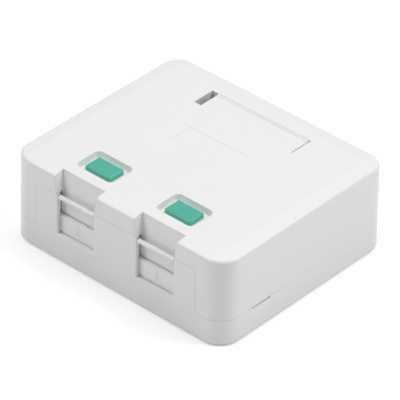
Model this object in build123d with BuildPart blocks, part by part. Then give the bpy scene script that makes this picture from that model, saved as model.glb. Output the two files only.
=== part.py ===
from build123d import *
from math import atan, degrees, radians, tan
import os

# Closed box: outside size, mouldings and draft
width = 70.0
depth = 60.5
height = 25.0
front_corner = 6.2
rear_corner = 5.4
least_corner = 0.6
draft = 0.56
wall = 2.0
floor = 1.6
roof = 2.2
foot_bevel = 0.45
seam_height = 7.3
seam_gap = 0.05
seam_bevel = 0.06

# Top of the cover: a flat centre, a sloped rim round it, a narrow shelf and a rounded outer edge
rim_width = 4.2
rim_shelf = 1.2
rim_drop = 0.5
edge_radius = 1.1

# Tongue of the base that stands inside the wall of the cover
tongue_inset = 1.1
tongue_height = 1.6
tongue_gap = 0.1

# Front panel of the base and its two port openings
panel_side = 8.95
panel_drop = 5.6
panel_corner = 1.2
panel_skin = 1.2
port_pitch = 26.0
port_width = 11.8
sill_rise = 0.4
port_arris = 0.4

# Shutter leaves: the lower one runs in front of the upper one
leaf_thickness = 0.8
leaf_overhang = 0.65
leaf_side_gap = 0.2
leaf_face_gap = 0.1
leaf_between = 0.15
leaf_rear_gap = 0.2
leaf_stop_gap = 0.05
leaf_rest_gap = 0.15
leaf_show = 5.4
leaf_lap = 0.7
sill_lap = 0.4
bar_radius = 0.6
bar_setback = 0.3
bar_drop = 1.1
bar_end_gap = 0.15
head_drop = 0.6
head_gap = 0.1
web_thickness = 0.45
catch_width = 8.0
catch_height = 0.3
catch_reach = 0.35
catch_gap = 0.1
arrow_drop = 1.0
arrow_length = 2.8
arrow_width = 1.6
arrow_line = 0.25
arrow_depth = 0.08

# Guide frame behind each opening, part of the base
frame_wall = 1.3
gate_gap = 0.1

# Finger notch in the cover above each port: a pocket with leaning walls, open to the front
notch_width = 14.0
notch_depth = 3.4
notch_lean = 10.0
notch_wall = 1.4
notch_arris = 0.35
lintel_drop = 2.3

# Circuit board and what stands on it
board_side = 0.35
board_end = 3.9
board_thickness = 1.6
board_height = 3.4
pin_width = 2.0
pin_fit = 0.1
pin_lead = 0.3
pin_shoulder = 1.0
pin_side = 1.85
pin_end = 1.8
support_width = 3.0
support_insets = (3.4, 17.4)

# Jack housing and its eight contact springs
jack_gap = 0.2
jack_wall = 2.0
jack_length = 15.0
jack_roof = 2.0
plug_depth = 12.5
plug_rise = 1.4
plug_drop = 1.3
latch_width = 6.4
latch_height = 1.2
latch_room = 8.4
latch_shoulder = 1.8
latch_depth = 10.5
jack_bevel = 0.3
contact_count = 8
contact_pitch = 1.02
contact_size = 0.35
contact_bend = 0.45
contact_sink = 1.9
contact_rise = 1.9
contact_slot = 0.6
contact_leg = 13.45
contact_front = 2.05
contact_reach = 9.85
contact_stagger = 1.6
tail_length = 0.5
tail_gap = 0.15

# Termination block with forked blades, and its cap
block_length = 14.0
block_gap = 4.5
block_height = 9.5
block_channel = 5.0
block_channel_depth = 6.5
slot_pitch = 3.2
slots_a_side = 4
slot_width = 1.0
slot_depth = 5.5
blade_inset = 1.9
blade_thickness = 0.5
blade_width = 2.3
blade_top_gap = 0.9
blade_tail = 0.6
blade_hole_gap = 0.2
blade_mouth = 1.2
blade_fork = 0.4
blade_fork_depth = 4.5
blade_pocket_gap = 0.15
cap_wall = 1.0
cap_fit = 0.2
cap_skirt = 4.0
cap_top = 1.4
cap_land = 2.4
cap_grip = 3.0
cap_bevel = 0.3
cap_notch_width = 1.3
cap_notch_height = 1.9
cap_stuffer_drop = 3.2
cap_stuffer_width = 0.7
cap_stuffer_gap = 0.55
cap_stuffer_reach = 1.6

# Coloured icon and its sloped recess
icon_width = 8.3
icon_length = 5.25
icon_inset = 10.45
icon_fit = 0.1
icon_rise = 1.45
icon_bevel = 0.35
icon_corner = 0.5
icon_recess_width = 12.0
icon_recess_length = 8.4
icon_recess_depth = 1.45
icon_recess_corner = 1.6
icon_recess_shift = 0.2
icon_recess_draw = 0.5
icon_stem_inset = 0.9
icon_pad_margin = 0.8
icon_pad = 1.2
icon_barb = 0.25
icon_barb_height = 0.9
icon_barb_play = 0.05
icon_slit = 0.8

# Label under its clear window
label_width = 32.2
label_length = 6.9
label_x = -0.2
label_inset = 10.8
label_depth = 1.2
label_corner = 0.4
label_fit = 0.15
label_step = 0.1
label_arris = 0.2
label_pry_gap = 2.0
label_pry_depth = 4.0
label_card = 0.25
label_card_gap = 0.05
label_frame = 0.7
label_pad = 1.0
label_pad_margin = 1.2

# Bare nameplate recess on top
plate_width = 19.0
plate_length = 7.0
plate_y = 3.7
plate_depth = 0.05

# Screw that holds the cover to the base
screw_x = -13.6
screw_radius = 1.45
screw_length = 12.0
screw_head_radius = 2.6
screw_head = 1.9
screw_sink = 3.15
screw_fit = 0.05
screw_clear = 0.2
screw_head_clear = 0.3
boss_wall = 1.4
post_radius = 3.2
post_drop = 2.05
recess_cross = 2.8
recess_blade = 0.7
recess_depth = 1.2
recess_taper = 6.0
screw_head_bevel = 0.7

# Snap hooks of the cover at the sides, and the pry slots above them
hook_inset = 13.8
hook_width = 6.4
hook_thickness = 0.8
hook_play = 0.15
hook_bottom = 4.6
hook_barb = 0.4
hook_barb_height = 0.8
hook_window = 0.5
pry_length = 6.7
pry_height = 0.45

# Ways in for the cable, and the fixing holes
entry_width = 20.0
entry_length = 11.0
entry_x = 3.0
entry_inset = 10.25
entry_kerb = 1.0
knockout_width = 11.0
knockout_height = 9.0
knockout_line = 0.6
knockout_depth = 0.5
fixing_inset = 9.0
fixing_y = 10.0
fixing_radius = 2.1
fixing_sink_radius = 3.9
fixing_pad = 1.2
fixing_pad_height = 1.0
tie_inset = 11.0
tie_width = 7.0
tie_length = 3.0
tie_height = 3.4
tie_eye_width = 4.0
tie_eye_height = 1.8
rib_thickness = 1.2
rib_depth = 1.8
rib_lap = 0.6


# Places worked out from the sizes above
front = -depth / 2
rear = depth / 2
panel_top = height - panel_drop
panel_width = width - 2 * panel_side
sill_top = seam_height + sill_rise
bar_height = panel_top - bar_drop
lintel_bottom = panel_top - lintel_drop
lower_leaf_top = bar_height - leaf_show
arrow_top = lower_leaf_top - arrow_drop
plug_width = port_width
plug_floor = sill_top + plug_rise
plug_top = lintel_bottom - plug_drop
gate_width = plug_width + 2 * gate_gap
gate_sill = plug_floor - gate_gap
contact_level = plug_floor - contact_sink
contact_tip = plug_floor + contact_rise
screw_seat = height - screw_sink
post_joint = screw_seat - post_drop
fixing_x = width / 2 - fixing_inset
tie_x = width / 2 - tie_inset
label_y = rear - label_inset
entry_y = rear - entry_inset
hook_y = front + hook_inset
icon_y = front + icon_inset
icon_recess_y = icon_y + icon_recess_shift
ports = {"left": -port_pitch / 2, "right": port_pitch / 2}
leaf_width = port_width + 2 * leaf_overhang
channel_width = leaf_width + 2 * leaf_side_gap
skin_y = front + panel_skin
lower_leaf_y = skin_y + leaf_face_gap
upper_leaf_y = lower_leaf_y + leaf_thickness + leaf_between
lintel_front = upper_leaf_y + leaf_thickness + leaf_rear_gap
lintel_y = lintel_front + notch_wall
jack_y = lintel_y + jack_gap
jack_rear = jack_y + jack_length
jack_width = plug_width + 2 * jack_wall
board_width = jack_width + 2 * board_side
block_front = jack_rear + block_gap
block_rear = block_front + block_length
board_rear = block_rear + board_end
support_ys = [jack_y + inset for inset in support_insets]
pin_x = board_width / 2 - pin_side
pin_y = board_rear - pin_end
rib_ys = (jack_rear - rib_lap, board_rear)
frame_width = channel_width + 2 * frame_wall
notch_block_width = notch_width + 2 * notch_wall
notch_bottom = panel_top + seam_gap
head_top = bar_height - head_drop
apron_bottom = head_top + head_gap
notch_draw = (height - lintel_bottom) * tan(radians(notch_lean))
lower_leaf_bottom = sill_top - sill_lap
upper_leaf_bottom = lower_leaf_top - leaf_lap
bar_y = front + bar_setback + bar_radius
bar_length = port_width - 2 * bar_end_gap
catch_pocket = catch_reach - leaf_between + catch_gap
lower_travel = lower_leaf_bottom - floor - leaf_rest_gap
upper_travel = head_top - web_thickness - lower_leaf_top - leaf_stop_gap
board_top = board_height + board_thickness
jack_top = plug_top + latch_height + jack_roof
block_y = (block_front + block_rear) / 2
block_top = board_top + block_height
slot_start = block_y - slot_pitch * (slots_a_side - 1) / 2
slot_ys = [slot_start + slot_pitch * i for i in range(slots_a_side)]
blade_top = block_top - blade_top_gap
blade_x = jack_width / 2 - blade_inset
blade_spots = [(side * blade_x, y) for side in (-1, 1) for y in slot_ys]
contact_xs = [contact_pitch * (i - (contact_count - 1) / 2) for i in range(contact_count)]
contact_leg_y = jack_y + contact_leg
contact_spots = [(x, contact_leg_y - contact_stagger * (i % 2)) for i, x in enumerate(contact_xs)]
tail_hole = contact_size + 2 * tail_gap
blade_hole = blade_tail + 2 * blade_hole_gap
tail_bottom = board_height - tail_length
cavity_top = height - roof
rim_bottom = height - rim_drop
rim_slope = degrees(atan((rim_width - rim_shelf) / rim_drop))
boss_radius = screw_head_radius + screw_head_clear + boss_wall
icon_floor = height - icon_recess_depth
icon_floor_width = icon_recess_width - 2 * icon_recess_draw
icon_floor_length = icon_recess_length - 2 * icon_recess_draw
icon_pad_bottom = cavity_top - icon_pad
label_floor = height - label_depth
label_right = label_x + label_width / 2
label_left = label_x - label_width / 2
window_width = label_width - label_pry_gap - label_fit
window_length = label_length - 2 * label_fit
window_x = label_right - label_fit - window_width / 2
card_width = window_width - 2 * label_frame
card_length = window_length - 2 * label_frame
hook_outer = width / 2 - tongue_inset
hook_inner = hook_outer - hook_thickness


def drawn_in(z):
    """How far the draft has drawn the outside in at height z."""
    return z * tan(radians(draft))


def outline(z, inset=0.0, mode=Mode.ADD):
    """Rounded outline of the casing at height z, moved in by inset."""
    step = drawn_in(z) + inset
    with BuildSketch(mode=Mode.PRIVATE) as shape:
        Rectangle(width - 2 * step, depth - 2 * step)
        fillet(shape.vertices().group_by(Axis.Y)[0], max(front_corner - step, least_corner))
        fillet(shape.vertices().group_by(Axis.Y)[-1], max(rear_corner - step, least_corner))
    add(shape.sketch, mode=mode)


def span(x0, x1, y0, y1, mode=Mode.ADD):
    """Rectangle between two corners of the sketch."""
    with Locations(((x0 + x1) / 2, (y0 + y1) / 2)):
        Rectangle(abs(x1 - x0), abs(y1 - y0), mode=mode)


def block(x0, x1, y0, y1, z0, z1, mode=Mode.ADD):
    """Square block between two corners."""
    with Locations(((x0 + x1) / 2, (y0 + y1) / 2, (z0 + z1) / 2)):
        Box(abs(x1 - x0), abs(y1 - y0), abs(z1 - z0), mode=mode)


def notch_plan(port_x, draw):
    """Plan of a finger notch with its bevelled mouth, its walls drawn in by the given amount."""
    half = notch_width / 2 - draw
    rear_y = front + notch_depth - draw
    bevel_y = front + drawn_in(notch_bottom) + notch_arris
    mouth_y = front - wall
    mouth = half + bevel_y - mouth_y
    Polygon(
        (port_x - mouth, mouth_y),
        (port_x + mouth, mouth_y),
        (port_x + half, bevel_y),
        (port_x + half, rear_y),
        (port_x - half, rear_y),
        (port_x - half, bevel_y),
        align=None,
    )


def facing_front(y):
    """Upright plane at depth y that looks out of the front."""
    return Plane.XZ.offset(-y)


def finish(piece, name):
    """Label a finished piece and write it out."""
    piece.part.label = name
    export_step(piece.part, "parts/" + name + ".step")


os.makedirs("parts", exist_ok=True)

# Base: tray, front panel, shutter guides, board pins and screw post
with BuildPart() as base:
    with BuildSketch():
        outline(0)
    extrude(amount=panel_top, taper=draft)
    chamfer(base.edges().group_by(Axis.Z)[0], foot_bevel)
    # only the front panel stands above the seam
    with BuildSketch(Plane.XY.offset(seam_height)):
        Rectangle(2 * width, 2 * depth)
        span(-panel_width / 2, panel_width / 2, front - wall, skin_y, mode=Mode.SUBTRACT)
    extrude(amount=height, mode=Mode.SUBTRACT)
    fillet(base.edges().filter_by(Axis.Y).group_by(Axis.Z)[-1], panel_corner)
    # bevelled upper edge of the tray, one side of the seam line
    seam_edges = base.edges().filter_by_position(Axis.Z, seam_height - seam_gap, seam_height + seam_gap)
    tray_edges = [
        e for e in seam_edges
        if e.center().Y > skin_y + seam_gap or abs(e.center().X) > panel_width / 2 + seam_gap
    ]
    chamfer(tray_edges, seam_bevel)
    # hollow of the tray
    with BuildSketch(Plane.XY.offset(floor)):
        outline(0, wall)
    extrude(amount=seam_height - floor, mode=Mode.SUBTRACT)
    # tongue inside the cover
    with BuildSketch(Plane.XY.offset(seam_height)):
        outline(seam_height, tongue_inset)
        outline(0, wall, mode=Mode.SUBTRACT)
        span(-panel_width / 2, panel_width / 2, front, front + wall + tongue_gap, mode=Mode.SUBTRACT)
    extrude(amount=tongue_height)
    # shutter guides: a frame with a channel and a way through to the jack
    for port_x in ports.values():
        frame_x0 = port_x - frame_width / 2
        frame_x1 = port_x + frame_width / 2
        block(frame_x0, frame_x1, skin_y, lintel_y, floor, lintel_bottom - seam_gap)
        block(frame_x0, frame_x1, skin_y, lintel_front - seam_gap, floor, panel_top)
    for port_x in ports.values():
        channel_x0 = port_x - channel_width / 2
        channel_x1 = port_x + channel_width / 2
        block(channel_x0, channel_x1, skin_y, lintel_front, floor, height, mode=Mode.SUBTRACT)
        gate_x0 = port_x - gate_width / 2
        gate_x1 = port_x + gate_width / 2
        block(gate_x0, gate_x1, lintel_front - wall, lintel_y, gate_sill, height, mode=Mode.SUBTRACT)
        # opening in the front skin
        port_x0 = port_x - port_width / 2
        port_x1 = port_x + port_width / 2
        block(port_x0, port_x1, front - wall, skin_y, sill_top, height, mode=Mode.SUBTRACT)
    # rounded front edge of each opening
    rim_edges = [
        e for e in base.edges()
        if abs(abs(e.center().X) - port_pitch / 2) < port_width / 2 + seam_gap
        and e.center().Y < front + panel_skin / 2
        and sill_top - seam_gap < e.center().Z < panel_top - seam_gap
        and e.bounding_box().size.Y < panel_skin / 2
    ]
    fillet(rim_edges, port_arris)
    # board supports: plain blocks in front, shouldered locating pins at the rear
    for port_x in ports.values():
        with BuildSketch(Plane.XY.offset(floor)):
            with Locations([(port_x + side * pin_x, y) for side in (-1, 1) for y in support_ys]):
                Rectangle(support_width, support_width)
            with Locations((port_x - pin_x, pin_y), (port_x + pin_x, pin_y)):
                Rectangle(pin_width + 2 * pin_shoulder, pin_width + 2 * pin_shoulder)
        extrude(amount=board_height - floor)
        with BuildSketch(Plane.XY.offset(board_height)):
            with Locations((port_x - pin_x, pin_y), (port_x + pin_x, pin_y)):
                Rectangle(pin_width, pin_width)
        extrude(amount=board_thickness + 2 * pin_lead)
    # screw post with webs and a pilot hole
    with BuildSketch(Plane.XY.offset(floor)):
        with Locations((screw_x, label_y)):
            Circle(post_radius)
    extrude(amount=post_joint - floor)
    with BuildSketch(Plane.XY.offset(floor)):
        with Locations((screw_x, label_y)):
            Rectangle(4 * post_radius, rib_thickness)
            Rectangle(rib_thickness, 4 * post_radius)
    extrude(amount=seam_height - floor)
    with BuildSketch(Plane.XY.offset(post_joint)):
        with Locations((screw_x, label_y)):
            Circle(screw_radius + screw_fit)
    extrude(amount=floor + boss_wall - post_joint, mode=Mode.SUBTRACT)
    # countersunk fixing holes on raised pads
    with BuildSketch(Plane.XY.offset(floor)):
        with Locations((-fixing_x, fixing_y), (fixing_x, fixing_y)):
            Rectangle(2 * (fixing_sink_radius + fixing_pad), 2 * (fixing_sink_radius + fixing_pad))
    extrude(amount=fixing_pad_height)
    fixing_top = floor + fixing_pad_height
    with Locations((-fixing_x, fixing_y, fixing_top), (fixing_x, fixing_y, fixing_top)):
        CounterSinkHole(fixing_radius, fixing_sink_radius, fixing_top)
    # cable entry with a kerb
    with BuildSketch(Plane.XY.offset(floor)):
        with Locations((entry_x, entry_y)):
            Rectangle(entry_width + 2 * entry_kerb, entry_length + 2 * entry_kerb)
    extrude(amount=entry_kerb)
    with BuildSketch():
        with Locations((entry_x, entry_y)):
            SlotOverall(entry_width, entry_length)
    extrude(amount=floor + entry_kerb, mode=Mode.SUBTRACT)
    for side in (-1, 1):
        # bridge for a cable tie
        tie_x0 = side * tie_x - tie_width / 2
        tie_x1 = side * tie_x + tie_width / 2
        block(tie_x0, tie_x1, entry_y - tie_length / 2, entry_y + tie_length / 2, floor, floor + tie_height)
        eye_x0 = side * tie_x - tie_eye_width / 2
        eye_x1 = side * tie_x + tie_eye_width / 2
        block(eye_x0, eye_x1, entry_y - tie_length, entry_y + tie_length, floor, floor + tie_eye_height,
              mode=Mode.SUBTRACT)
        # pocket for the snap hook of the cover, with its catch window and the pry slot
        pocket_y0 = hook_y - hook_width / 2 - hook_play
        pocket_y1 = hook_y + hook_width / 2 + hook_play
        pocket_out = side * (hook_outer + hook_play)
        pocket_in = side * (hook_inner - hook_play)
        pocket_z0 = hook_bottom - hook_play
        block(pocket_in, pocket_out, pocket_y0, pocket_y1, pocket_z0, height, mode=Mode.SUBTRACT)
        block(pocket_in, pocket_out + side * hook_window, pocket_y0, pocket_y1,
              hook_bottom, hook_bottom + hook_barb_height + hook_play, mode=Mode.SUBTRACT)
        block(pocket_in, side * width, hook_y - pry_length / 2, hook_y + pry_length / 2,
              seam_height - pry_height, seam_height, mode=Mode.SUBTRACT)
finish(base, "base")

# Cover: lid with finger notches, icon recesses, label recess and nameplate recess
with BuildPart() as cover:
    with BuildSketch(Plane.XY.offset(seam_height)):
        outline(seam_height)
    extrude(amount=rim_bottom - seam_height, taper=draft)
    chamfer(cover.edges().group_by(Axis.Z)[0], seam_bevel)
    fillet(cover.edges().group_by(Axis.Z)[-1], edge_radius)
    with BuildSketch(Plane.XY.offset(rim_bottom)):
        outline(rim_bottom, rim_shelf)
    extrude(amount=rim_drop, taper=rim_slope)
    # hollow, and the rebate over the tongue of the base
    with BuildSketch(Plane.XY.offset(seam_height)):
        outline(seam_height, wall)
    extrude(amount=cavity_top - seam_height, mode=Mode.SUBTRACT)
    with BuildSketch(Plane.XY.offset(seam_height)):
        outline(seam_height, tongue_inset - tongue_gap)
    extrude(amount=tongue_height + tongue_gap, mode=Mode.SUBTRACT)
    # pads under the recesses, ribs and screw boss
    for port_x in ports.values():
        pad_x = icon_recess_width / 2 + icon_pad_margin
        pad_y = icon_recess_length / 2 + icon_pad_margin
        block(port_x - pad_x, port_x + pad_x, icon_recess_y - pad_y, icon_recess_y + pad_y,
              icon_pad_bottom, cavity_top)
    pad_y0 = label_y - label_length / 2 - label_pad_margin
    pad_y1 = label_y + label_length / 2 + label_pad_margin
    block(label_left - label_pad_margin, label_right + label_pad_margin, pad_y0, pad_y1,
          cavity_top - label_pad, cavity_top)
    block(label_left - label_pad_margin, label_left + label_pry_gap + label_pad_margin, pad_y0, pad_y1,
          height - label_pry_depth - label_pad_margin, cavity_top)
    for rib_y in rib_ys:
        rib_x = width / 2 - wall
        block(-rib_x, rib_x, rib_y, rib_y + rib_thickness, cavity_top - rib_depth, cavity_top)
    with BuildSketch(Plane.XY.offset(post_joint)):
        with Locations((screw_x, label_y)):
            Circle(boss_radius)
    extrude(amount=cavity_top - post_joint)
    # opening round the front panel of the base
    with BuildSketch(facing_front(front - wall)):
        with Locations((0, seam_height)):
            Rectangle(panel_width + 2 * seam_gap, 2 * (notch_bottom - seam_height))
    extrude(amount=-(2 * wall + wall + seam_gap), mode=Mode.SUBTRACT)
    head_corners = [
        e for e in cover.edges().filter_by(Axis.Y)
        if abs(e.center().Z - notch_bottom) < seam_gap and abs(abs(e.center().X) - panel_width / 2) < wall / 2
    ]
    fillet(head_corners, panel_corner + seam_gap)
    # walls of the finger notches
    for port_x in ports.values():
        wall_x0 = port_x - notch_block_width / 2
        wall_x1 = port_x + notch_block_width / 2
        block(wall_x0, wall_x1, front + wall, lintel_y, notch_bottom, cavity_top)
        block(wall_x0, wall_x1, lintel_front, lintel_y, lintel_bottom, cavity_top)
        # apron down to the head of the upper leaf
        apron_x0 = port_x - channel_width / 2 + leaf_side_gap
        apron_x1 = port_x + channel_width / 2 - leaf_side_gap
        block(apron_x0, apron_x1, upper_leaf_y - leaf_between, lintel_y, apron_bottom, cavity_top)
    for port_x in ports.values():
        with BuildSketch(Plane.XY.offset(height)):
            notch_plan(port_x, 0)
        with BuildSketch(Plane.XY.offset(lintel_bottom)):
            notch_plan(port_x, notch_draw)
        loft(ruled=True, mode=Mode.SUBTRACT)
    # icon recesses: leaning sides, and a hole for the stem
    for port_x in ports.values():
        with BuildSketch(Plane.XY.offset(height)):
            with Locations((port_x, icon_recess_y)):
                RectangleRounded(icon_recess_width, icon_recess_length, icon_recess_corner)
        with BuildSketch(Plane.XY.offset(icon_floor)):
            with Locations((port_x, icon_recess_y)):
                RectangleRounded(icon_floor_width, icon_floor_length, icon_recess_corner - icon_recess_draw)
        loft(ruled=True, mode=Mode.SUBTRACT)
        with BuildSketch(Plane.XY.offset(icon_floor)):
            with Locations((port_x, icon_y)):
                Rectangle(icon_width - 2 * icon_stem_inset + 2 * icon_fit,
                          icon_length - 2 * icon_stem_inset + 2 * icon_fit)
        extrude(amount=-icon_recess_depth - roof, mode=Mode.SUBTRACT)
    # label recess with its pry gap, and the nameplate recess
    with BuildSketch(Plane.XY.offset(height)):
        with Locations((label_x, label_y)):
            Rectangle(label_width, label_length)
    extrude(amount=-label_depth, mode=Mode.SUBTRACT)
    block(label_left, label_left + label_pry_gap, label_y - label_length / 2, label_y + label_length / 2,
          height - label_pry_depth, height - label_depth, mode=Mode.SUBTRACT)
    with BuildSketch(Plane.XY.offset(height)):
        with Locations((0, plate_y)):
            Rectangle(plate_width, plate_length)
    extrude(amount=-plate_depth, mode=Mode.SUBTRACT)
    # seat and clearance hole of the screw
    with BuildSketch(Plane.XY.offset(screw_seat)):
        with Locations((screw_x, label_y)):
            Circle(screw_head_radius + screw_head_clear)
    extrude(amount=label_floor - screw_seat, mode=Mode.SUBTRACT)
    with BuildSketch(Plane.XY.offset(screw_seat)):
        with Locations((screw_x, label_y)):
            Circle(screw_radius + screw_clear)
    extrude(amount=post_joint - screw_seat, mode=Mode.SUBTRACT)
    # grooves round the two knock-outs of the rear wall
    for port_x in ports.values():
        with BuildSketch(facing_front(-front - drawn_in(seam_height + knockout_height))):
            with Locations((port_x, seam_height + knockout_height / 2)):
                Rectangle(knockout_width, knockout_height)
                Rectangle(knockout_width - 2 * knockout_line, knockout_height - 2 * knockout_line,
                          mode=Mode.SUBTRACT)
        extrude(amount=knockout_depth, both=True, mode=Mode.SUBTRACT)
    # snap hooks
    for side in (-1, 1):
        hook_y0 = hook_y - hook_width / 2
        hook_y1 = hook_y + hook_width / 2
        block(side * hook_inner, side * hook_outer, hook_y0, hook_y1,
              hook_bottom, seam_height + tongue_height + 2 * tongue_gap)
        barb_z = hook_bottom + hook_play
        with BuildSketch(Plane.XZ.offset(-hook_y0)):
            with BuildLine():
                Polyline(
                    (side * hook_outer, barb_z),
                    (side * (hook_outer + hook_barb), barb_z + hook_barb_height - hook_play),
                    (side * hook_outer, barb_z + hook_barb_height - hook_play),
                    close=True,
                )
            make_face()
        extrude(amount=-hook_width)
finish(cover, "cover")

# Screw that holds the cover down: bevelled head with a cross recess
with BuildPart() as cover_screw:
    with BuildSketch(Plane.XY.offset(screw_seat)):
        with Locations((screw_x, label_y)):
            Circle(screw_head_radius)
    extrude(amount=screw_head)
    chamfer(cover_screw.edges().group_by(Axis.Z)[-1], screw_head_bevel)
    with BuildSketch(Plane.XY.offset(screw_seat)):
        with Locations((screw_x, label_y)):
            Circle(screw_radius)
    extrude(amount=-screw_length)
    with BuildSketch(Plane.XY.offset(screw_seat + screw_head)):
        with Locations((screw_x, label_y)):
            Rectangle(recess_cross, recess_blade)
            Rectangle(recess_blade, recess_cross)
    extrude(amount=-recess_depth, taper=recess_taper, mode=Mode.SUBTRACT)
finish(cover_screw, "cover_screw")

# Clear window over the label card
with BuildPart() as label_window:
    with BuildSketch(Plane.XY.offset(label_floor)):
        with Locations((window_x, label_y)):
            Rectangle(window_width, window_length)
    extrude(amount=label_depth - label_step)
    chamfer(label_window.edges().filter_by(Axis.Z), label_corner)
    chamfer(label_window.edges().group_by(Axis.Z)[-1], label_arris)
    with BuildSketch(Plane.XY.offset(label_floor)):
        with Locations((window_x, label_y)):
            Rectangle(card_width + 2 * label_card_gap, card_length + 2 * label_card_gap)
    extrude(amount=label_card + label_card_gap, mode=Mode.SUBTRACT)
finish(label_window, "label_window")

with BuildPart() as card:
    with BuildSketch(Plane.XY.offset(label_floor)):
        with Locations((window_x, label_y)):
            Rectangle(card_width, card_length)
    extrude(amount=label_card)
finish(card, "label_card")

for place, port_x in ports.items():
    # Icon: a bevelled block on a barbed stem
    with BuildPart() as icon:
        with BuildSketch(Plane.XY.offset(icon_floor)):
            with Locations((port_x, icon_y)):
                RectangleRounded(icon_width, icon_length, icon_corner)
        extrude(amount=icon_rise)
        chamfer(icon.edges().group_by(Axis.Z)[-1], icon_bevel)
        stem_x = icon_width / 2 - icon_stem_inset
        stem_y = icon_length / 2 - icon_stem_inset
        stem_bottom = icon_pad_bottom - icon_barb_height
        block(port_x - stem_x, port_x + stem_x, icon_y - stem_y, icon_y + stem_y, stem_bottom, icon_floor)
        with BuildSketch(Plane.XY.offset(icon_pad_bottom - icon_barb_play)):
            with Locations((port_x, icon_y)):
                Rectangle(2 * stem_x, 2 * stem_y + 2 * icon_barb)
        with BuildSketch(Plane.XY.offset(stem_bottom)):
            with Locations((port_x, icon_y)):
                Rectangle(2 * stem_x, 2 * stem_y)
        loft()
        # slit that lets the two barbed halves close in
        block(port_x - stem_x, port_x + stem_x, icon_y - icon_slit / 2, icon_y + icon_slit / 2,
              stem_bottom, icon_floor - icon_slit, mode=Mode.SUBTRACT)
    finish(icon, "icon_" + place)

    # Lower leaf: a plate with a pocket behind for the catch of the upper leaf, and an arrow in front
    with BuildPart() as lower_leaf:
        leaf_x0 = port_x - leaf_width / 2
        leaf_x1 = port_x + leaf_width / 2
        lower_rear = lower_leaf_y + leaf_thickness
        block(leaf_x0, leaf_x1, lower_leaf_y, lower_rear, lower_leaf_bottom, lower_leaf_top)
        top_front = lower_leaf.edges().filter_by(Axis.X).group_by(Axis.Z)[-1].sort_by(Axis.Y)[0]
        fillet(top_front, leaf_thickness / 2)
        pocket_x = catch_width / 2 + catch_gap
        block(port_x - pocket_x, port_x + pocket_x, lower_rear - catch_pocket, lower_rear,
              lower_leaf_bottom, upper_leaf_bottom + catch_height + catch_gap, mode=Mode.SUBTRACT)
        with BuildSketch(facing_front(lower_leaf_y)):
            with BuildLine():
                Polyline((port_x, arrow_top), (port_x, arrow_top - arrow_length))
                Polyline(
                    (port_x - arrow_width / 2, arrow_top - arrow_length + arrow_width / 2),
                    (port_x, arrow_top - arrow_length),
                    (port_x + arrow_width / 2, arrow_top - arrow_length + arrow_width / 2),
                )
            trace(line_width=arrow_line)
        extrude(amount=-arrow_depth, mode=Mode.SUBTRACT)
    finish(lower_leaf, "lower_shutter_" + place)

    # Upper leaf: a plate with a web at its head that carries a round grip bar
    with BuildPart() as upper_leaf:
        block(leaf_x0, leaf_x1, upper_leaf_y, upper_leaf_y + leaf_thickness, upper_leaf_bottom, head_top)
        with BuildSketch(Plane.YZ.offset(port_x - bar_length / 2)):
            with Locations((bar_y, bar_height)):
                Circle(bar_radius)
            with BuildLine():
                Polyline(
                    (bar_y, bar_height - bar_radius),
                    (lower_leaf_y, bar_height - bar_radius),
                    (bar_y + bar_radius, head_top - web_thickness),
                    (upper_leaf_y + leaf_thickness, head_top - web_thickness),
                    (upper_leaf_y + leaf_thickness, head_top),
                    (upper_leaf_y, head_top),
                    (bar_y + bar_radius / 2, bar_height),
                    (bar_y, bar_height),
                    close=True,
                )
            make_face()
        extrude(amount=bar_length)
        block(port_x - catch_width / 2, port_x + catch_width / 2, upper_leaf_y - catch_reach, upper_leaf_y,
              upper_leaf_bottom, upper_leaf_bottom + catch_height)
    finish(upper_leaf, "upper_shutter_" + place)

    # Circuit board with holes for the pins, the contact tails and the blade tails
    with BuildPart() as board:
        with BuildSketch(Plane.XY.offset(board_height)):
            span(port_x - board_width / 2, port_x + board_width / 2, jack_y, board_rear)
            with Locations((port_x - pin_x, pin_y), (port_x + pin_x, pin_y)):
                Rectangle(pin_width + 2 * pin_fit, pin_width + 2 * pin_fit, mode=Mode.SUBTRACT)
            with Locations([(port_x + x, y) for x, y in contact_spots]):
                Rectangle(tail_hole, tail_hole, mode=Mode.SUBTRACT)
            with Locations([(port_x + x, y) for x, y in blade_spots]):
                Rectangle(blade_hole, blade_hole, mode=Mode.SUBTRACT)
        extrude(amount=board_thickness)
    finish(board, "circuit_board_" + place)

    # Jack housing: stepped cavity, and a floor slot under each contact spring
    with BuildPart() as housing:
        jack_x = jack_width / 2
        block(port_x - jack_x, port_x + jack_x, jack_y, jack_rear, board_top, jack_top)
        block(port_x - plug_width / 2, port_x + plug_width / 2, jack_y, jack_y + plug_depth,
              plug_floor, plug_top, mode=Mode.SUBTRACT)
        block(port_x - latch_width / 2, port_x + latch_width / 2, jack_y, jack_y + latch_depth,
              plug_top, plug_top + latch_height, mode=Mode.SUBTRACT)
        block(port_x - latch_room / 2, port_x + latch_room / 2, jack_y + latch_shoulder, jack_y + latch_depth,
              plug_top, plug_top + latch_height, mode=Mode.SUBTRACT)
        mouth = housing.faces().filter_by_position(Axis.Y, jack_y - seam_gap, jack_y + seam_gap)[0]
        chamfer(mouth.inner_wires().edges(), jack_bevel)
        for x, leg_y in contact_spots:
            slot_x0 = port_x + x - contact_slot / 2
            slot_x1 = port_x + x + contact_slot / 2
            slot_y0 = jack_y + contact_front - contact_slot
            slot_y1 = jack_y + plug_depth
            block(slot_x0, slot_x1, slot_y0, leg_y + contact_slot / 2,
                  contact_level - contact_slot / 2, contact_level + contact_slot / 2, mode=Mode.SUBTRACT)
            block(slot_x0, slot_x1, slot_y0, slot_y1, contact_level, plug_floor, mode=Mode.SUBTRACT)
            block(slot_x0, slot_x1, leg_y - contact_slot / 2, leg_y + contact_slot / 2,
                  board_top, contact_level, mode=Mode.SUBTRACT)
    finish(housing, "jack_housing_" + place)

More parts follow.
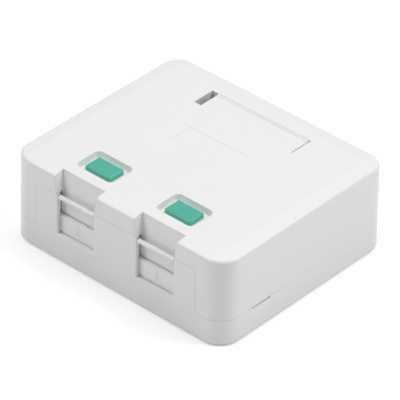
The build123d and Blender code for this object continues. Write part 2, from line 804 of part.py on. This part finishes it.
    # Eight bent contact springs
    with BuildPart() as contacts:
        for x, leg_y in contact_spots:
            with BuildSketch(Plane.YZ.offset(port_x + x - contact_size / 2)):
                bend_y = jack_y + contact_front
                with BuildLine():
                    Polyline(
                        (leg_y, tail_bottom),
                        (leg_y, contact_level),
                        (bend_y + contact_bend, contact_level),
                        (bend_y, contact_level + contact_bend / 2),
                        (bend_y + contact_bend, contact_level + contact_bend),
                        (jack_y + contact_reach, contact_tip),
                    )
                trace(line_width=contact_size)
                # square outer corners where the runs meet
                with Locations((leg_y, contact_level)):
                    Rectangle(contact_size, contact_size)
            extrude(amount=contact_size)
    finish(contacts, "jack_contacts_" + place)

    # Termination block: two rows of wire slots beside a channel, with pockets for the blades
    with BuildPart() as terminal:
        block_x = jack_width / 2
        block(port_x - block_x, port_x + block_x, block_front, block_rear, board_top, block_top)
        channel_x = block_channel / 2
        block(port_x - channel_x, port_x + channel_x, block_front, block_rear,
              block_top - block_channel_depth, block_top, mode=Mode.SUBTRACT)
        pocket_x = blade_thickness / 2 + blade_pocket_gap
        pocket_y = blade_width / 2 + blade_pocket_gap
        for y in slot_ys:
            block(port_x - block_x, port_x + block_x, y - slot_width / 2, y + slot_width / 2,
                  block_top - slot_depth, block_top, mode=Mode.SUBTRACT)
        for x, y in blade_spots:
            block(port_x + x - pocket_x, port_x + x + pocket_x, y - pocket_y, y + pocket_y,
                  board_top, block_top, mode=Mode.SUBTRACT)
    finish(terminal, "idc_block_" + place)

    # Eight forked blades
    with BuildPart() as blades:
        for x, y in blade_spots:
            with BuildSketch(Plane.YZ.offset(port_x + x - blade_thickness / 2)):
                span(y - blade_width / 2, y + blade_width / 2, board_top, blade_top)
                span(y - blade_tail / 2, y + blade_tail / 2, tail_bottom, board_top)
                span(y - blade_fork / 2, y + blade_fork / 2, blade_top - blade_fork_depth, blade_top,
                     mode=Mode.SUBTRACT)
                with BuildLine():
                    Polyline(
                        (y - blade_mouth / 2, blade_top),
                        (y, blade_top - blade_mouth),
                        (y + blade_mouth / 2, blade_top),
                        close=True,
                    )
                make_face(mode=Mode.SUBTRACT)
            extrude(amount=blade_thickness)
    finish(blades, "idc_blades_" + place)

    # Cap that presses the wires into the blades
    with BuildPart() as cap:
        cap_x = jack_width / 2 + cap_fit + cap_wall
        cap_y0 = block_front - cap_fit - cap_wall
        cap_y1 = block_rear + cap_fit + cap_wall
        block(port_x - cap_x, port_x + cap_x, cap_y0, cap_y1, block_top - cap_skirt, block_top + cap_top)
        chamfer(cap.edges().filter_by(Axis.Z), cap_wall / 2)
        chamfer(cap.edges().group_by(Axis.Z)[-1], cap_bevel)
        block(port_x - cap_x + cap_wall, port_x + cap_x - cap_wall, cap_y0 + cap_wall, cap_y1 - cap_wall,
              block_top - cap_skirt, block_top, mode=Mode.SUBTRACT)
        grip_x = cap_x - cap_grip
        block(port_x - grip_x, port_x + grip_x, block_y - cap_land / 2, block_y + cap_land / 2,
              block_top + cap_top, block_top + cap_top + cap_land / 2)
        # wire notches in the skirt, and stuffers on both sides of each blade
        for y in slot_ys:
            block(port_x - cap_x, port_x + cap_x, y - cap_notch_width / 2, y + cap_notch_width / 2,
                  block_top - cap_skirt, block_top - cap_skirt + cap_notch_height, mode=Mode.SUBTRACT)
        for x, y in blade_spots:
            stuffer_y0 = y - cap_stuffer_width / 2
            stuffer_y1 = y + cap_stuffer_width / 2
            for x0, x1 in ((blade_x - cap_stuffer_reach, blade_x - cap_stuffer_gap),
                           (blade_x + cap_stuffer_gap, blade_x + cap_stuffer_reach)):
                near = x0 if x > 0 else -x0
                far = x1 if x > 0 else -x1
                block(port_x + near, port_x + far, stuffer_y0, stuffer_y1,
                      block_top - cap_stuffer_drop, block_top)
    finish(cap, "wiring_cap_" + place)

print("travel of the lower and the upper leaf:", round(lower_travel, 2), round(upper_travel, 2))
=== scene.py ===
import bmesh, bpy, math
from mathutils import Matrix, Vector


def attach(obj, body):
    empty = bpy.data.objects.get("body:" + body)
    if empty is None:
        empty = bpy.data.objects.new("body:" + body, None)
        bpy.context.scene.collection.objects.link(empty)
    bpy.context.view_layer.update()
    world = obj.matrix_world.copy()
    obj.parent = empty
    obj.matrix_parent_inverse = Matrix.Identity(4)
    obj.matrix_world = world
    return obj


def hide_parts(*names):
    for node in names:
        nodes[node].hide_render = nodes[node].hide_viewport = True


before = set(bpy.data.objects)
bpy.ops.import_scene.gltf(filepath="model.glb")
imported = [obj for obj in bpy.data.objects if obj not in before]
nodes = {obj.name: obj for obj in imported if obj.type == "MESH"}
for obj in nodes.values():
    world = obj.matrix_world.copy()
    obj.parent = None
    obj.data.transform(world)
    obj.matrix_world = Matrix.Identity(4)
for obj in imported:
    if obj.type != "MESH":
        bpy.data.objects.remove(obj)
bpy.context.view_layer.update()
sides = ("left", "right")
print("jack box: frame loaded,", len(nodes), "nodes")


def newMaterial(name):
    mat = bpy.data.materials.new(name)
    mat.use_nodes = True
    tree = mat.node_tree
    return mat, tree, tree.nodes["Principled BSDF"]


def objectPoint(tree):
    coords = tree.nodes.new("ShaderNodeTexCoord")
    mapping = tree.nodes.new("ShaderNodeMapping")
    mapping.inputs["Scale"].default_value = (1000, 1000, 1000)    # metres to millimetres
    tree.links.new(coords.outputs["Object"], mapping.inputs["Vector"])
    return mapping.outputs["Vector"]


def addNoise(tree, point, scale, detail=2.0, roughness=0.5):
    noise = tree.nodes.new("ShaderNodeTexNoise")
    noise.inputs["Scale"].default_value = scale
    noise.inputs["Detail"].default_value = detail
    noise.inputs["Roughness"].default_value = roughness
    tree.links.new(point, noise.inputs["Vector"])
    return noise.outputs["Fac"]


def remap(tree, value, low, high, fromLow=0.3, fromHigh=0.7):
    node = tree.nodes.new("ShaderNodeMapRange")
    node.inputs["From Min"].default_value = fromLow
    node.inputs["From Max"].default_value = fromHigh
    node.inputs["To Min"].default_value = low
    node.inputs["To Max"].default_value = high
    tree.links.new(value, node.inputs["Value"])
    return node.outputs["Result"]


def twoTone(tree, value, dark, light, start=0.15, end=0.85):
    ramp = tree.nodes.new("ShaderNodeValToRGB")
    for stop, position, tone in zip(ramp.color_ramp.elements, (start, end), (dark, light)):
        stop.position = position
        stop.color = (*tone, 1)
    tree.links.new(value, ramp.inputs["Fac"])
    return ramp.outputs["Color"]


def grainBump(tree, shader, height, distance, strength, edgeRadius=0.0):
    bump = tree.nodes.new("ShaderNodeBump")
    bump.inputs["Strength"].default_value = strength
    bump.inputs["Distance"].default_value = distance
    tree.links.new(height, bump.inputs["Height"])
    if edgeRadius:
        bevel = tree.nodes.new("ShaderNodeBevel")
        bevel.samples = 6
        bevel.inputs["Radius"].default_value = edgeRadius
        tree.links.new(bevel.outputs["Normal"], bump.inputs["Normal"])
    tree.links.new(bump.outputs["Normal"], shader.inputs["Normal"])


def dress(mat, *names):
    for name in names:
        piece = nodes[name]
        piece.data.materials.clear()
        piece.data.materials.append(mat)


# what all moulded plastics share: slow drift of tone, fine grain and slightly rounded edges
moulding = {"drift": 0.06, "driftDetail": 3.0, "grainDetail": 3.0, "grainRoughness": 0.6,
            "bumpStrength": 0.35, "ior": 1.50}


def mouldedPlastic(name, look):
    mat, tree, shader = newMaterial(name)
    point = objectPoint(tree)
    drift = addNoise(tree, point, moulding["drift"], moulding["driftDetail"])
    grain = addNoise(tree, point, look["grain"], moulding["grainDetail"], moulding["grainRoughness"])
    tree.links.new(twoTone(tree, drift, look["dark"], look["light"]), shader.inputs["Base Color"])
    tree.links.new(remap(tree, drift, *look["rough"], 0.0, 1.0), shader.inputs["Roughness"])
    shader.inputs["IOR"].default_value = moulding["ior"]
    grainBump(tree, shader, grain, look["grainDepth"], moulding["bumpStrength"], look["edge"])
    return mat


shell = {"light": (0.82, 0.82, 0.818), "dark": (0.812, 0.812, 0.808), "rough": (0.33, 0.36),
         "grain": 9.0, "grainDepth": 0.00001, "edge": 0.00012}
dress(mouldedPlastic("shellWhite", shell), "base", "cover")

shutter = {"light": (0.84, 0.84, 0.83), "dark": (0.83, 0.83, 0.82), "rough": (0.32, 0.36),
           "grain": 11.0, "grainDepth": 0.000008, "edge": 0.00010}
shutterWhite = mouldedPlastic("shutterWhite", shutter)
for side in sides:
    dress(shutterWhite, "lower_shutter_" + side, "upper_shutter_" + side, "idc_block_" + side)

icon = {"light": (0.088, 0.44, 0.345), "dark": (0.076, 0.41, 0.32), "rough": (0.30, 0.38),
        "grain": 10.0, "grainDepth": 0.000008, "edge": 0.00012}
dress(mouldedPlastic("iconGreen", icon), *["icon_" + side for side in sides])

housing = {"light": (0.035, 0.035, 0.038), "dark": (0.025, 0.025, 0.027), "rough": (0.40, 0.55),
           "grain": 9.0, "grainDepth": 0.00001, "edge": 0.00010}
dress(mouldedPlastic("jackBlack", housing), *["jack_housing_" + side for side in sides])

cap = {"light": (0.72, 0.74, 0.76), "dark": (0.68, 0.70, 0.72), "rough": (0.25, 0.35),
       "grain": 9.0, "grainDepth": 0.000006, "edge": 0.00010}
dress(mouldedPlastic("capClear", cap), *["wiring_cap_" + side for side in sides])
print("jack box: moulded plastics done")

# the window is milky, and so near to the card in tone that the card hardly shows
window = {"tint": (0.845, 0.845, 0.84), "pale": (0.865, 0.865, 0.86), "rough": (0.42, 0.47), "alpha": 0.93,
          "haze": 0.25, "ior": 1.49}

# its lip along the back edge is painted bright: the pale tint stands in for a highlight on the window's
# edge, and the gap at its right end is wider than in the CAD node
lip = {"tint": (0.97, 0.97, 0.965), "pale": (0.98, 0.98, 0.975), "rough": (0.25, 0.30), "alpha": 1.0,
       "haze": 0.25, "ior": 1.49, "width": 0.00042, "rise": 0.00007, "fieldDrop": 0.00015,
       "frontReach": 0.00012, "endGap": 0.0004, "cardRoom": 0.00004, "edge": 0.00004}


def clearPlastic(name, look):
    mat, tree, shader = newMaterial(name)
    haze = addNoise(tree, objectPoint(tree), look["haze"])
    tree.links.new(twoTone(tree, haze, look["tint"], look["pale"]), shader.inputs["Base Color"])
    tree.links.new(remap(tree, haze, *look["rough"]), shader.inputs["Roughness"])
    shader.inputs["Alpha"].default_value = look["alpha"]
    shader.inputs["IOR"].default_value = look["ior"]
    return mat


def boxOf(piece):
    corners = [piece.matrix_world @ Vector(corner) for corner in piece.bound_box]
    return [Vector([pick(corner[i] for corner in corners) for i in range(3)]) for pick in (min, max)]


def barAlongX(name, outline, x0, x1, edge=0.0):
    shape = bmesh.new()
    start, end = ([shape.verts.new((x, y, z)) for y, z in outline] for x in (x0, x1))
    shape.faces.new(start)
    shape.faces.new(end)
    for i in range(len(outline)):
        shape.faces.new((start[i - 1], start[i], end[i], end[i - 1]))
    if edge:
        bmesh.ops.bevel(shape, geom=shape.edges[:], offset=edge, segments=2, affect="EDGES")
    bmesh.ops.recalc_face_normals(shape, faces=shape.faces[:])
    mesh = bpy.data.meshes.new(name)
    shape.to_mesh(mesh)
    shape.free()
    piece = bpy.data.objects.new(name, mesh)
    bpy.context.collection.objects.link(piece)
    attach(piece, "housing")
    return piece


def lippedWindow(look):
    low, high = boxOf(nodes["label_window"])
    cardLow, cardHigh = boxOf(nodes["label_card"])
    front, back = low.y - look["frontReach"], high.y
    top, lipTop = high.z - look["fieldDrop"], high.z + look["rise"]
    left, right = low.x, high.x - look["endGap"]
    # the card lies in a channel under the field
    roomFront, roomBack = cardLow.y - look["cardRoom"], cardHigh.y + look["cardRoom"]
    roomTop = cardHigh.z + look["cardRoom"]
    field = barAlongX("label_window_field", [
        (front, low.z), (front, top), (back, top), (back, low.z),
        (roomBack, low.z), (roomBack, roomTop), (roomFront, roomTop), (roomFront, low.z)], left, right)
    field.data.materials.append(clearPlastic("windowClear", window))
    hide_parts("label_window")
    lipFront = back - look["width"]
    rim = barAlongX("label_window_lip", [
        (lipFront, top), (lipFront, lipTop), (back, lipTop), (back, top)], left, right, look["edge"])
    # the lip's pale tint is a painted highlight, not a different plastic
    rim.data.materials.append(clearPlastic("lipClearPaintedHighlight", look))


lippedWindow(lip)

card = {"light": (0.86, 0.86, 0.855), "dark": (0.82, 0.82, 0.815), "rough": 0.85,
        "fibre": 4.0, "fibreDepth": 0.00002}


def cardPaper(look):
    mat, tree, shader = newMaterial("cardPaper")
    fibre = addNoise(tree, objectPoint(tree), look["fibre"], 5.0, 0.7)
    tree.links.new(twoTone(tree, fibre, look["dark"], look["light"]), shader.inputs["Base Color"])
    shader.inputs["Roughness"].default_value = look["rough"]
    grainBump(tree, shader, fibre, look["fibreDepth"], 0.3)
    return mat


dress(cardPaper(card), "label_card")
print("jack box: label done")

screw = {"dark": (0.22, 0.075, 0.045), "light": (0.52, 0.22, 0.12), "rough": (0.29, 0.43)}
contacts = {"dark": (0.78, 0.52, 0.19), "light": (0.90, 0.66, 0.30), "rough": (0.16, 0.30)}
blades = {"dark": (0.55, 0.55, 0.54), "light": (0.68, 0.68, 0.67), "rough": (0.26, 0.40)}


def plainMetal(name, look):
    mat, tree, shader = newMaterial(name)
    point = objectPoint(tree)
    stain = addNoise(tree, point, 0.8, 4.0, 0.6)
    polish = addNoise(tree, point, 14.0)
    tree.links.new(twoTone(tree, stain, look["dark"], look["light"]), shader.inputs["Base Color"])
    tree.links.new(remap(tree, stain, *look["rough"]), shader.inputs["Roughness"])
    shader.inputs["Metallic"].default_value = 1.0
    grainBump(tree, shader, polish, 0.000005, 0.3)
    return mat


dress(plainMetal("screwYellow", screw), "cover_screw")
dress(plainMetal("contactGold", contacts), *["jack_contacts_" + side for side in sides])
dress(plainMetal("bladeTin", blades), *["idc_blades_" + side for side in sides])

board = {"mask": (0.012, 0.075, 0.035), "maskLight": (0.02, 0.11, 0.05), "rough": 0.3,
         "weave": 1.1, "weaveStray": 0.6, "weaveDepth": 0.00001}


def solderMask(look):
    mat, tree, shader = newMaterial("boardGreen")
    weave = tree.nodes.new("ShaderNodeTexWave")    # glass weave under the mask
    weave.inputs["Scale"].default_value = look["weave"]
    weave.inputs["Distortion"].default_value = look["weaveStray"]
    tree.links.new(objectPoint(tree), weave.inputs["Vector"])
    tree.links.new(twoTone(tree, weave.outputs["Fac"], look["mask"], look["maskLight"]),
                   shader.inputs["Base Color"])
    shader.inputs["Roughness"].default_value = look["rough"]
    grainBump(tree, shader, weave.outputs["Fac"], look["weaveDepth"], 0.2)
    return mat


dress(solderMask(board), *["circuit_board_" + side for side in sides])
print("jack box: metals and boards done")

# the floor lies just under the base, and looks white to the camera while it keeps the shadow
room = {"size": 3.0, "height": -0.0003, "tone": 0.86, "toneStep": 0.01, "mottle": 0.004, "rough": 0.9,
        "white": 0.30}


def paleFloor(look):
    mat, tree, shader = newMaterial("floorPale")
    mottle = addNoise(tree, objectPoint(tree), look["mottle"], 3.0)
    dark, light = (look["tone"],) * 3, (look["tone"] + look["toneStep"],) * 3
    tree.links.new(twoTone(tree, mottle, dark, light), shader.inputs["Base Color"])
    shader.inputs["Roughness"].default_value = look["rough"]
    lightPath = tree.nodes.new("ShaderNodeLightPath")
    seen = tree.nodes.new("ShaderNodeMath")
    seen.operation = "MAXIMUM"
    tree.links.new(lightPath.outputs["Is Camera Ray"], seen.inputs[0])
    tree.links.new(lightPath.outputs["Is Glossy Ray"], seen.inputs[1])
    glow = tree.nodes.new("ShaderNodeMath")
    glow.operation = "MULTIPLY"
    glow.inputs[1].default_value = look["white"]
    tree.links.new(seen.outputs[0], glow.inputs[0])
    shader.inputs["Emission Color"].default_value = (1, 1, 1, 1)
    tree.links.new(glow.outputs[0], shader.inputs["Emission Strength"])
    bpy.ops.mesh.primitive_plane_add(size=look["size"], location=(0, 0, look["height"]))
    floor = bpy.context.object
    floor.name = "studioFloor"
    floor.data.materials.append(mat)


paleFloor(room)

# sky for the light it gives, skyWhite for what the camera sees of it
studio = {"sky": 0.272, "skyWhite": 1.0}

# place, size and power of each lamp, all aimed at the box
lamps = {"overhead": ((-0.10, 0.15, 0.95), 1.00, 3.35),
         "frontLeft": ((-0.50, -0.50, 0.85), 0.45, 3.45),
         "rightRear": ((0.55, 0.45, 0.85), 0.45, 5.2)}


def softSky(look):
    world = bpy.data.worlds.new("studioSky")
    bpy.context.scene.world = world
    world.use_nodes = True
    tree = world.node_tree
    background = tree.nodes["Background"]
    background.inputs["Color"].default_value = (1, 1, 1, 1)
    lightPath = tree.nodes.new("ShaderNodeLightPath")
    strength = remap(tree, lightPath.outputs["Is Camera Ray"], look["sky"], look["skyWhite"], 0.0, 1.0)
    tree.links.new(strength, background.inputs["Strength"])


def softBox(name, place, size, power):
    lamp = bpy.data.lights.new(name, "AREA")
    lamp.shape = "DISK"
    lamp.size = size
    lamp.energy = power
    lampObject = bpy.data.objects.new(name, lamp)
    bpy.context.collection.objects.link(lampObject)
    lampObject.location = place
    lampObject.rotation_euler = (-Vector(place)).to_track_quat("-Z", "Y").to_euler()


softSky(studio)
for name, (place, size, power) in lamps.items():
    softBox(name, place, size, power)
print("jack box: floor and lights set")

# fitted to the outline of the photograph, azimuth from -Y towards +X
view = {"azimuth": 41.469, "elevation": 35.414, "roll": 1.134, "distance": 0.8817, "target": (0, 0, 0.0125),
        "lens": 324.65, "sensor": 36.0, "shift": (0.0032, -0.0093), "nearest": 0.05}


def photoCamera(look):
    az, el, roll = (math.radians(look[key]) for key in ("azimuth", "elevation", "roll"))
    back = Vector((math.sin(az) * math.cos(el), -math.cos(az) * math.cos(el), math.sin(el)))
    right = Vector((math.cos(az), math.sin(az), 0))
    up = back.cross(right)
    xAxis = math.cos(roll) * right + math.sin(roll) * up
    yAxis = back.cross(xAxis)
    camera = bpy.data.cameras.new("photoCamera")
    camera.sensor_width = look["sensor"]
    camera.sensor_fit = "HORIZONTAL"
    camera.lens = look["lens"]
    camera.shift_x, camera.shift_y = look["shift"]
    camera.clip_start = look["nearest"]
    cameraObject = bpy.data.objects.new("photoCamera", camera)
    bpy.context.collection.objects.link(cameraObject)
    turn = Matrix((xAxis, yAxis, back)).transposed().to_4x4()
    place = Vector(look["target"]) + back * look["distance"]
    cameraObject.matrix_world = Matrix.Translation(place) @ turn
    bpy.context.scene.camera = cameraObject


photoCamera(view)
bpy.context.scene.view_settings.view_transform = "Standard"
